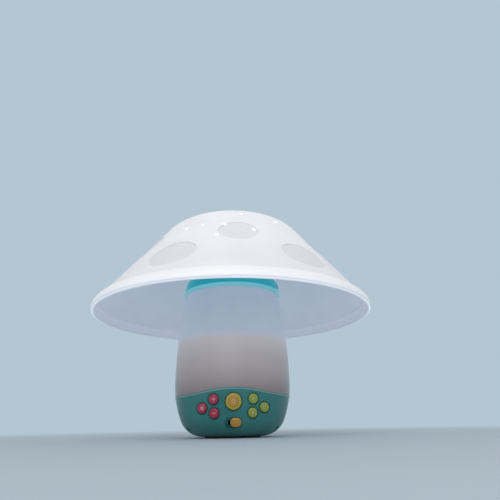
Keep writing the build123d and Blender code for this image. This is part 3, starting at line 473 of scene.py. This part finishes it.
# %% Stem
# Height and softness of the painted line where the light stops, and how far below it the warm painted glow
# reaches
line_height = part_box("reflector")[1].z
line_softness = 4.0 * mm
warm_depth = 16.0 * mm
stem_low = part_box("stem_shell")[0].z

# Light soaks deep into milky polypropylene, so the shell looks soft, with a pale edge; the light from within
# is a painted glow
stem_finish, tree, shader, stem_tint = moulded_plastic(
    "moulded_polypropylene_milky",
    "#d3dae4",
    "#d7dee7",
    0.36,
    Subsurface_Weight=0.35,
    Subsurface_Radius=(0.006, 0.006, 0.006),
    Subsurface_Scale=1.0,
    Emission_Strength=0.1,
    Sheen_Weight=0.3,
    Sheen_Roughness=0.35,
    Sheen_Tint=linear("#f6eef3"),
)
place = add_node(tree, "ShaderNodeTexCoord").outputs["Object"]
height = add_node(tree, "ShaderNodeSeparateXYZ", {0: place}).outputs["Z"]
# Painted shade: below the line the colour darkens towards the foot
painted_light_share = add_node(
    tree, "ShaderNodeMapRange", {"Value": height, "From Min": stem_low, "From Max": line_height}
).outputs["Result"]
below = add_node(
    tree,
    "ShaderNodeMix",
    {"Factor": painted_light_share, 6: linear("#665f61"), 7: linear("#e8dbdc")},
    data_type="RGBA",
).outputs[2]
above_share = add_node(
    tree,
    "ShaderNodeMapRange",
    {
        "Value": height,
        "From Min": line_height - line_softness,
        "From Max": line_height + line_softness,
    },
    interpolation_type="SMOOTHSTEP",
).outputs["Result"]
stem_color = add_node(
    tree,
    "ShaderNodeMix",
    {"Factor": above_share, 6: below, 7: stem_tint.outputs[2]},
    data_type="RGBA",
).outputs[2]
tree.links.new(stem_color, shader.inputs["Base Color"])
# Painted glow: warm below the line and fading downwards, cool above it
warm_share = add_node(
    tree,
    "ShaderNodeMapRange",
    {"Value": height, "From Min": line_height - warm_depth, "From Max": line_height},
).outputs["Result"]
warm_glow = add_node(
    tree,
    "ShaderNodeMix",
    {"Factor": warm_share, 6: linear("#000000"), 7: linear("#c9c2c2")},
    data_type="RGBA",
).outputs[2]
stem_glow = add_node(
    tree,
    "ShaderNodeMix",
    {"Factor": above_share, 6: warm_glow, 7: linear("#d6e1f6")},
    data_type="RGBA",
)
tree.links.new(stem_glow.outputs[2], shader.inputs["Emission Color"])
finishes["stem_plastic"] = stem_finish
print("stem line at", round(line_height / mm, 1), "mm")

# %% [markdown]
# ## Collar
# The collar is a bluer turquoise than the base and a little clear, with a faint painted glow. Its thin lip
# gets a painted highlight, a paler edge that runs round under the shoulder. The height decides where the lip
# ends, so the edge stays put from every side.

# %% Collar
collar_low, collar_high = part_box("collar")
shoulder_round = 11.0 * mm
lip_step = 0.6 * mm
shoulder_height = collar_high.z - shoulder_round
shoulder_ring = collar_high.x - lip_step - shoulder_round
# Height up to which the lip gets its painted highlight, and how soft its top edge is
lip_height = 3.3 * mm
lip_softness = 0.5 * mm

# Glossy tinted ABS that passes some light: tight highlights on the shoulder; the lip's glow and the collar's
# faint glow are painted
collar_finish, tree, shader, collar_tint = moulded_plastic(
    "moulded_abs_deep_turquoise",
    "#1b9dae",
    "#24a5b5",
    0.2,
    Subsurface_Weight=0.2,
    Subsurface_Radius=(0.002, 0.003, 0.003),
    Subsurface_Scale=1.0,
    Emission_Strength=0.16,
)
place = add_node(tree, "ShaderNodeTexCoord").outputs["Object"]
height = add_node(tree, "ShaderNodeSeparateXYZ", {0: place}).outputs["Z"]
# Painted highlight: the lip is paler below this height
painted_lip_light_share = add_node(
    tree,
    "ShaderNodeMapRange",
    {
        "Value": height,
        "From Min": collar_low.z + lip_height + lip_softness,
        "From Max": collar_low.z + lip_height - lip_softness,
    },
    interpolation_type="SMOOTHSTEP",
).outputs["Result"]
collar_color = add_node(
    tree,
    "ShaderNodeMix",
    {"Factor": painted_lip_light_share, 6: collar_tint.outputs[2], 7: linear("#a5dbe2")},
    data_type="RGBA",
).outputs[2]
print("collar lip up to", round((collar_low.z + lip_height) / mm, 1), "mm")

# %% [markdown]
# ## Collar's key notch
# A small notch in the shoulder shows where the cap's key goes. It gets no light, so its inside gets painted
# shade and no painted glow. What lies under the shoulder's round skin is part of the notch, and the skin is
# an arc, so the distance from the arc's centre tells how deep a point lies.

# %% Collar's key notch
# Depths under the shoulder's skin between which the notch turns dark with painted shade
notch_shade_start = 0.6 * mm
notch_full_shade = 1.4 * mm
past_side = add_node(
    tree, "ShaderNodeMath", {0: height, 1: shoulder_height}, operation="SUBTRACT"
).outputs[0]
raised = add_node(tree, "ShaderNodeMath", {0: past_side, 1: 0.0}, operation="MAXIMUM").outputs[0]
past_ring = add_node(
    tree, "ShaderNodeMath", {0: ring_radius(tree), 1: shoulder_ring}, operation="SUBTRACT"
).outputs[0]
spread = add_node(tree, "ShaderNodeCombineXYZ", {"X": past_ring, "Y": raised}).outputs[0]
reach = add_node(tree, "ShaderNodeVectorMath", {0: spread}, operation="LENGTH").outputs["Value"]
sunk = add_node(
    tree,
    "ShaderNodeMapRange",
    {"Value": reach, "From Min": shoulder_round - notch_shade_start, "From Max": shoulder_round - notch_full_shade},
).outputs["Result"]
outside = add_node(tree, "ShaderNodeMath", {0: past_ring, 1: 0.0}, operation="GREATER_THAN").outputs[0]
notch_shade_share = add_node(tree, "ShaderNodeMath", {0: sunk, 1: outside}, operation="MULTIPLY").outputs[0]
# Painted shade: the notch's inside is dark
notch_shaded = add_node(
    tree,
    "ShaderNodeMix",
    {"Factor": notch_shade_share, 6: collar_color, 7: linear("#0b4a55")},
    data_type="RGBA",
)
# Painted glow over the collar, left out of the notch
collar_glow = add_node(
    tree,
    "ShaderNodeMix",
    {"Factor": notch_shade_share, 6: linear("#00e7f4"), 7: linear("#000000")},
    data_type="RGBA",
)
tree.links.new(notch_shaded.outputs[2], shader.inputs["Base Color"])
tree.links.new(collar_glow.outputs[2], shader.inputs["Emission Color"])
finishes["collar_plastic"] = collar_finish
print("notch dark from", round(notch_full_shade / mm, 1), "mm under the shoulder")

# %% [markdown]
# ## Base
# The base is glossy ABS in turquoise. A fine bead runs along its wavy top edge, and a painted highlight makes
# it paler. The edge is a wave across the front, so the bead is found from how far a point lies below that
# wave.

# %% Base
wave_middle = 33.15 * mm
wave_height = 2.15 * mm
wave_half = 43.0 * mm
bead_height = 1.1 * mm
bead_softness = 0.25 * mm

# Glossy ABS from a polished mould: a clear highlight follows the round lower edge
base_finish, tree, shader, base_tint = moulded_plastic(
    "moulded_abs_turquoise", "#2b6f6e", "#337876", 0.28
)
place = add_node(tree, "ShaderNodeTexCoord").outputs["Object"]
axes = add_node(tree, "ShaderNodeSeparateXYZ", {0: place}).outputs
turn_share = add_node(
    tree, "ShaderNodeMath", {0: axes["X"], 1: math.pi / wave_half}, operation="MULTIPLY"
).outputs[0]
wave = add_node(tree, "ShaderNodeMath", {0: turn_share}, operation="COSINE").outputs[0]
edge_height = add_node(
    tree, "ShaderNodeMath", {0: wave, 1: wave_height, 2: wave_middle}, operation="MULTIPLY_ADD"
).outputs[0]
below_edge = add_node(
    tree, "ShaderNodeMath", {0: edge_height, 1: axes["Z"]}, operation="SUBTRACT"
).outputs[0]
# Painted highlight: the bead under the wavy edge is paler
bead_highlight_share = add_node(
    tree,
    "ShaderNodeMapRange",
    {"Value": below_edge, "From Min": bead_height + bead_softness, "From Max": bead_height - bead_softness},
    interpolation_type="SMOOTHSTEP",
).outputs["Result"]
base_color = add_node(
    tree,
    "ShaderNodeMix",
    {"Factor": bead_highlight_share, 6: base_tint.outputs[2], 7: linear("#69a6a1")},
    data_type="RGBA",
).outputs[2]
tree.links.new(base_color, shader.inputs["Base Color"])
finishes["turquoise_plastic"] = base_finish
print("base bead", round(bead_height / mm, 1), "mm high")

# %% [markdown]
# ## Small parts
# Rubber, metal, circuit boards and lenses are mostly hidden, but they show when the cap is lifted or the
# light is turned over. Each gets a short finish of its own, with fine flecks of a second tone: dull rubber,
# plated steel, green lacquer with paler patches where copper lies under it, and clear acrylic.

# %% Small parts
fleck_relief = 0.03 * mm


def speckled(name, color, fleck_color, fleck_size, roughness, **sockets):
    """A surface with fine flecks of a second colour, such as rubber, paper or plated steel."""
    material, tree, shader, place = start_finish(name, Roughness=roughness, **sockets)
    flecks = add_node(
        tree, "ShaderNodeTexNoise", {"Vector": place, "Scale": per_mm(fleck_size), "Detail": 4.0}
    )
    tint = add_node(
        tree,
        "ShaderNodeMix",
        {"Factor": flecks.outputs["Fac"], 6: linear(color), 7: linear(fleck_color)},
        data_type="RGBA",
    )
    tree.links.new(tint.outputs[2], shader.inputs["Base Color"])
    bump = add_node(
        tree,
        "ShaderNodeBump",
        {"Height": flecks.outputs["Fac"], "Strength": 0.3, "Distance": fleck_relief},
    )
    tree.links.new(bump.outputs["Normal"], shader.inputs["Normal"])
    return material


# Moulded rubber and silicone scatter light, so they look dull, with no clear highlight
finishes["foot_rubber"] = speckled("moulded_rubber_grey", "#3a3a3d", "#48484c", 0.8, 0.75)
finishes["keypad_silicone"] = speckled("moulded_silicone_grey", "#b4b4b8", "#bebec2", 1.0, 0.6)
# Lacquer over copper and glass fibre gives a clear shine on a cloudy green
finishes["board_green"] = speckled("lacquered_circuit_board", "#175234", "#2a6a47", 2.5, 0.35)
# Plated steel mirrors the room, a little blurred: zinc looks bluish, nickel yellowish
finishes["screw_steel"] = speckled(
    "zinc_plated_steel", "#b9babd", "#c9cacc", 0.6, 0.32, Metallic=1.0
)
finishes["contact_steel"] = speckled(
    "nickel_plated_steel", "#c6c2b6", "#d2cec3", 0.6, 0.28, Metallic=1.0
)
# A lacquered can keeps some of the metal's gleam under its colour
finishes["cell_jacket"] = speckled("lacquered_steel_can", "#525a68", "#5a6271", 3.0, 0.3, Metallic=0.6)
# Pressed paper is matte and fibrous, and a sintered magnet is dark and grainy
finishes["speaker_paper"] = speckled("pressed_paper_black", "#222224", "#343437", 0.7, 0.85)
finishes["magnet_iron"] = speckled("sintered_iron", "#3c3c40", "#4a4a4f", 0.9, 0.55, Metallic=0.8)
# Cast resin and moulded acrylic are as smooth as glass: sharp highlights, and the lens is see-through
finishes["led_resin"] = speckled("cast_led_resin", "#f1f0e4", "#f6f5ec", 1.5, 0.15)
finishes["clear_plastic"] = speckled(
    "moulded_acrylic_clear", "#f4fafc", "#ffffff", 6.0, 0.06, Transmission_Weight=0.9, IOR=1.49
)
print("finishes", len(finishes))

# %% [markdown]
# ## Dress every piece
# The construction's record says which finish each piece has, so one loop dresses them all.

# %% Dress every piece
for subpart in frame["record"]["subparts"]:
    mesh = nodes[subpart["node"]].data
    mesh.materials.clear()
    mesh.materials.append(finishes[subpart["material_slot"]])
print("dressed", len(nodes))

# %% [markdown]
# ## Raised marks on the buttons
# Such buttons carry small raised signs, so that a finger finds them in the dark. Plain ones will do: plus
# and minus, a dot, a triangle, a ring and a square. Each starts as a flat shape, is dropped onto the
# button's curved face with rays, and is then thickened, so it follows the face exactly.

# %% Raised marks on the buttons
mark_size = 1.5 * mm
mark_height = 0.22 * mm
mark_sink = 0.1 * mm
ring_width = mark_size * 0.45
# A grid cell belongs to a bar of the plus where its middle is nearer to the axis than this share of the size
bar_reach = 0.4
# How a flat shape is turned to face the front, which way the rays go, and how many metres off they start
face_front = Matrix.Rotation(math.pi / 2, 4, "X")
behind_panel = Vector((0, 1, 0))
start_gap = 0.02


def cross_shape(mark, arms):
    """A plus of square cells, or a minus where arms is 1."""
    bmesh.ops.create_grid(mark, x_segments=3, y_segments=3, size=mark_size)
    for face in list(mark.faces):
        middle = face.calc_center_median() / mark_size
        on_bar = abs(middle.y) < bar_reach or (arms == 2 and abs(middle.x) < bar_reach)
        if not on_bar:
            bmesh.ops.delete(mark, geom=[face], context="FACES")


def round_shape(mark, segments, hollow):
    """A disc, triangle or square by its number of sides, or a ring where it is hollow."""
    made = bmesh.ops.create_circle(mark, cap_ends=True, segments=segments, radius=mark_size)
    bmesh.ops.rotate(mark, verts=made["verts"], matrix=Matrix.Rotation(math.pi / segments, 3, "Z"))
    if hollow:
        bmesh.ops.inset_region(mark, faces=list(mark.faces), thickness=ring_width, use_boundary=True)
        inner = min(mark.faces, key=lambda face: face.calc_center_median().length)
        bmesh.ops.delete(mark, geom=[inner], context="FACES")


def raise_mark(node, body, finish, draw, *settings):
    """Draws a mark, drops it onto a button's face and makes it a thin solid that rides with the button."""
    low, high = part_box(node)
    surface = BVHTree.FromObject(nodes[node], bpy.context.evaluated_depsgraph_get())
    mark = bmesh.new()
    draw(mark, *settings)
    bmesh.ops.subdivide_edges(mark, edges=mark.edges, cuts=1, use_grid_fill=True)
    bmesh.ops.transform(mark, verts=mark.verts, matrix=face_front)
    start = ((low.x + high.x) / 2, low.y - start_gap, (low.z + high.z) / 2)
    bmesh.ops.translate(mark, verts=mark.verts, vec=start)
    for vert in mark.verts:
        hit = surface.ray_cast(vert.co, behind_panel)[0]
        vert.co = hit + behind_panel * mark_sink
    raised = bmesh.ops.extrude_face_region(mark, geom=list(mark.faces), use_keep_orig=True)
    top = [item for item in raised["geom"] if isinstance(item, bmesh.types.BMVert)]
    bmesh.ops.translate(mark, verts=top, vec=-behind_panel * (mark_sink + mark_height))
    bmesh.ops.recalc_face_normals(mark, faces=mark.faces)
    mesh = bpy.data.meshes.new(f"{node}_mark")
    mark.to_mesh(mesh)
    mark.free()
    mesh.materials.append(finish)
    piece = bpy.data.objects.new(f"{node}_mark", mesh)
    scene.collection.objects.link(piece)
    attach(piece, body)
    return piece


print("sign shapes", round(2 * mark_size / mm, 1), "mm wide")

# %% [markdown]
# ## A sign for each button
# The left buttons get plus, dot and minus, the right ones triangle, ring and square, and the middle one a
# ring. On the real thing the tops of such signs are printed in a paler tone, so each colour gets its own ink.

# %% A sign for each button
# Ink printed on the raised signs is paler and duller than the button, so a sign can be read without shine
pale_pink = moulded_plastic("pad_printed_abs_pale_pink", "#c27787", "#c77f8e", 0.35)[0]
straw = moulded_plastic("pad_printed_abs_straw", "#b0a45c", "#b5aa64", 0.35)[0]
cream = moulded_plastic("pad_printed_abs_cream", "#c4ad7e", "#c9b388", 0.35)[0]
# Button, body that it rides on, finish, material slot, and the shape with its settings
marks = (
    ("pink_button_top", "pink_button_top", pale_pink, "pink_plastic", cross_shape, 2),
    ("pink_button_outer", "pink_button_outer", pale_pink, "pink_plastic", round_shape, 24, False),
    ("pink_button_bottom", "pink_button_bottom", pale_pink, "pink_plastic", cross_shape, 1),
    ("green_button_top", "green_button_top", straw, "lime_plastic", round_shape, 3, False),
    ("green_button_outer", "green_button_outer", straw, "lime_plastic", round_shape, 24, True),
    ("green_button_bottom", "green_button_bottom", straw, "lime_plastic", round_shape, 4, False),
    ("center_button_disc", "center_button", cream, "orange_plastic", round_shape, 24, True),
)
for node, body, finish, slot, draw, *settings in marks:
    raise_mark(node, body, finish, draw, *settings)
print("marks", len(marks))

# %% [markdown]
# ## Floor
# A pale floor that fades into a plain backdrop keeps the light soft and gives the white cap something to
# stand out from. The floor holds the shadow near the object and takes the backdrop's colour further off.

# %% Floor
floor_reach = 6.0
fade_start = 0.2
fade_end = 0.7
mottle_size = 40.0
backdrop_color = "#b3c6d2"
floor_mesh = bpy.data.meshes.new("floor")
sheet = bmesh.new()
bmesh.ops.create_grid(sheet, x_segments=1, y_segments=1, size=floor_reach)
sheet.to_mesh(floor_mesh)
sheet.free()
floor = bpy.data.objects.new("floor", floor_mesh)
scene.collection.objects.link(floor)
# Matte paper has no highlight, so the eye sees only the soft shadow on it
floor_finish, tree, shader, place = start_finish("studio_paper", Roughness=0.85)
mottle = add_node(
    tree, "ShaderNodeTexNoise", {"Vector": place, "Scale": per_mm(mottle_size), "Detail": 3.0}
)
paper = add_node(
    tree,
    "ShaderNodeMix",
    {"Factor": mottle.outputs["Fac"], 6: linear("#a5b5bf"), 7: linear("#abbac4")},
    data_type="RGBA",
)
tree.links.new(paper.outputs[2], shader.inputs["Base Color"])
away = add_node(tree, "ShaderNodeVectorMath", {0: place}, operation="LENGTH").outputs["Value"]
fade = add_node(
    tree,
    "ShaderNodeMapRange",
    {"Value": away, "From Min": fade_start, "From Max": fade_end},
    interpolation_type="SMOOTHSTEP",
).outputs["Result"]
plain = add_node(tree, "ShaderNodeEmission", {"Color": linear(backdrop_color), "Strength": 1.0})
fading = add_node(tree, "ShaderNodeMixShader", {0: fade, 1: shader.outputs[0], 2: plain.outputs[0]})
tree.links.new(fading.outputs[0], tree.nodes["Material Output"].inputs["Surface"])
floor_mesh.materials.append(floor_finish)
print("floor fades from", fade_start, "to", fade_end, "m")

# %% [markdown]
# ## Light
# One large lamp in front and above shapes the cap, a weak one on the right opens the shadows, and a weak one
# behind draws the edges. Soft light from all round fills in, as it does in a white studio tent.

# %% Light
# Name, place and size in metres, and power in watts
lamps = (
    ("key_lamp", (-0.2, -1.2, 0.9), 1.0, 9.2),
    ("fill_lamp", (0.95, -0.5, 0.55), 0.9, 0.7),
    ("back_lamp", (0.1, 1.0, 0.9), 0.9, 1.0),
)
lamp_target = Vector((0, 0, 0.1))
for name, position, size, power in lamps:
    lamp_data = bpy.data.lights.new(name, "AREA")
    lamp_data.size = size
    lamp_data.energy = power
    lamp = bpy.data.objects.new(name, lamp_data)
    lamp.location = position
    lamp.rotation_euler = (lamp_target - lamp.location).to_track_quat("-Z", "Y").to_euler()
    scene.collection.objects.link(lamp)

soft_light_level = 0.72
world = bpy.data.worlds.new("studio")
world.use_nodes = True
scene.world = world
tree = world.node_tree
tree.nodes.clear()
# The plain backdrop is what is seen, also in gloss and through clear plastic; the soft light itself is whiter
light = add_node(
    tree, "ShaderNodeBackground", {"Color": linear("#f8f4f3"), "Strength": soft_light_level}
)
backdrop = add_node(tree, "ShaderNodeBackground", {"Color": linear(backdrop_color), "Strength": 1.0})
path = add_node(tree, "ShaderNodeLightPath").outputs
mirrored = add_node(
    tree, "ShaderNodeMath", {0: path["Is Glossy Ray"], 1: path["Is Transmission Ray"]}, operation="MAXIMUM"
).outputs[0]
seen = add_node(
    tree, "ShaderNodeMath", {0: path["Is Camera Ray"], 1: mirrored}, operation="MAXIMUM"
).outputs[0]
surround = add_node(tree, "ShaderNodeMixShader", {0: seen, 1: light.outputs[0], 2: backdrop.outputs[0]})
add_node(tree, "ShaderNodeOutputWorld", {"Surface": surround.outputs[0]})
print("lamps", [name for name, *_ in lamps])
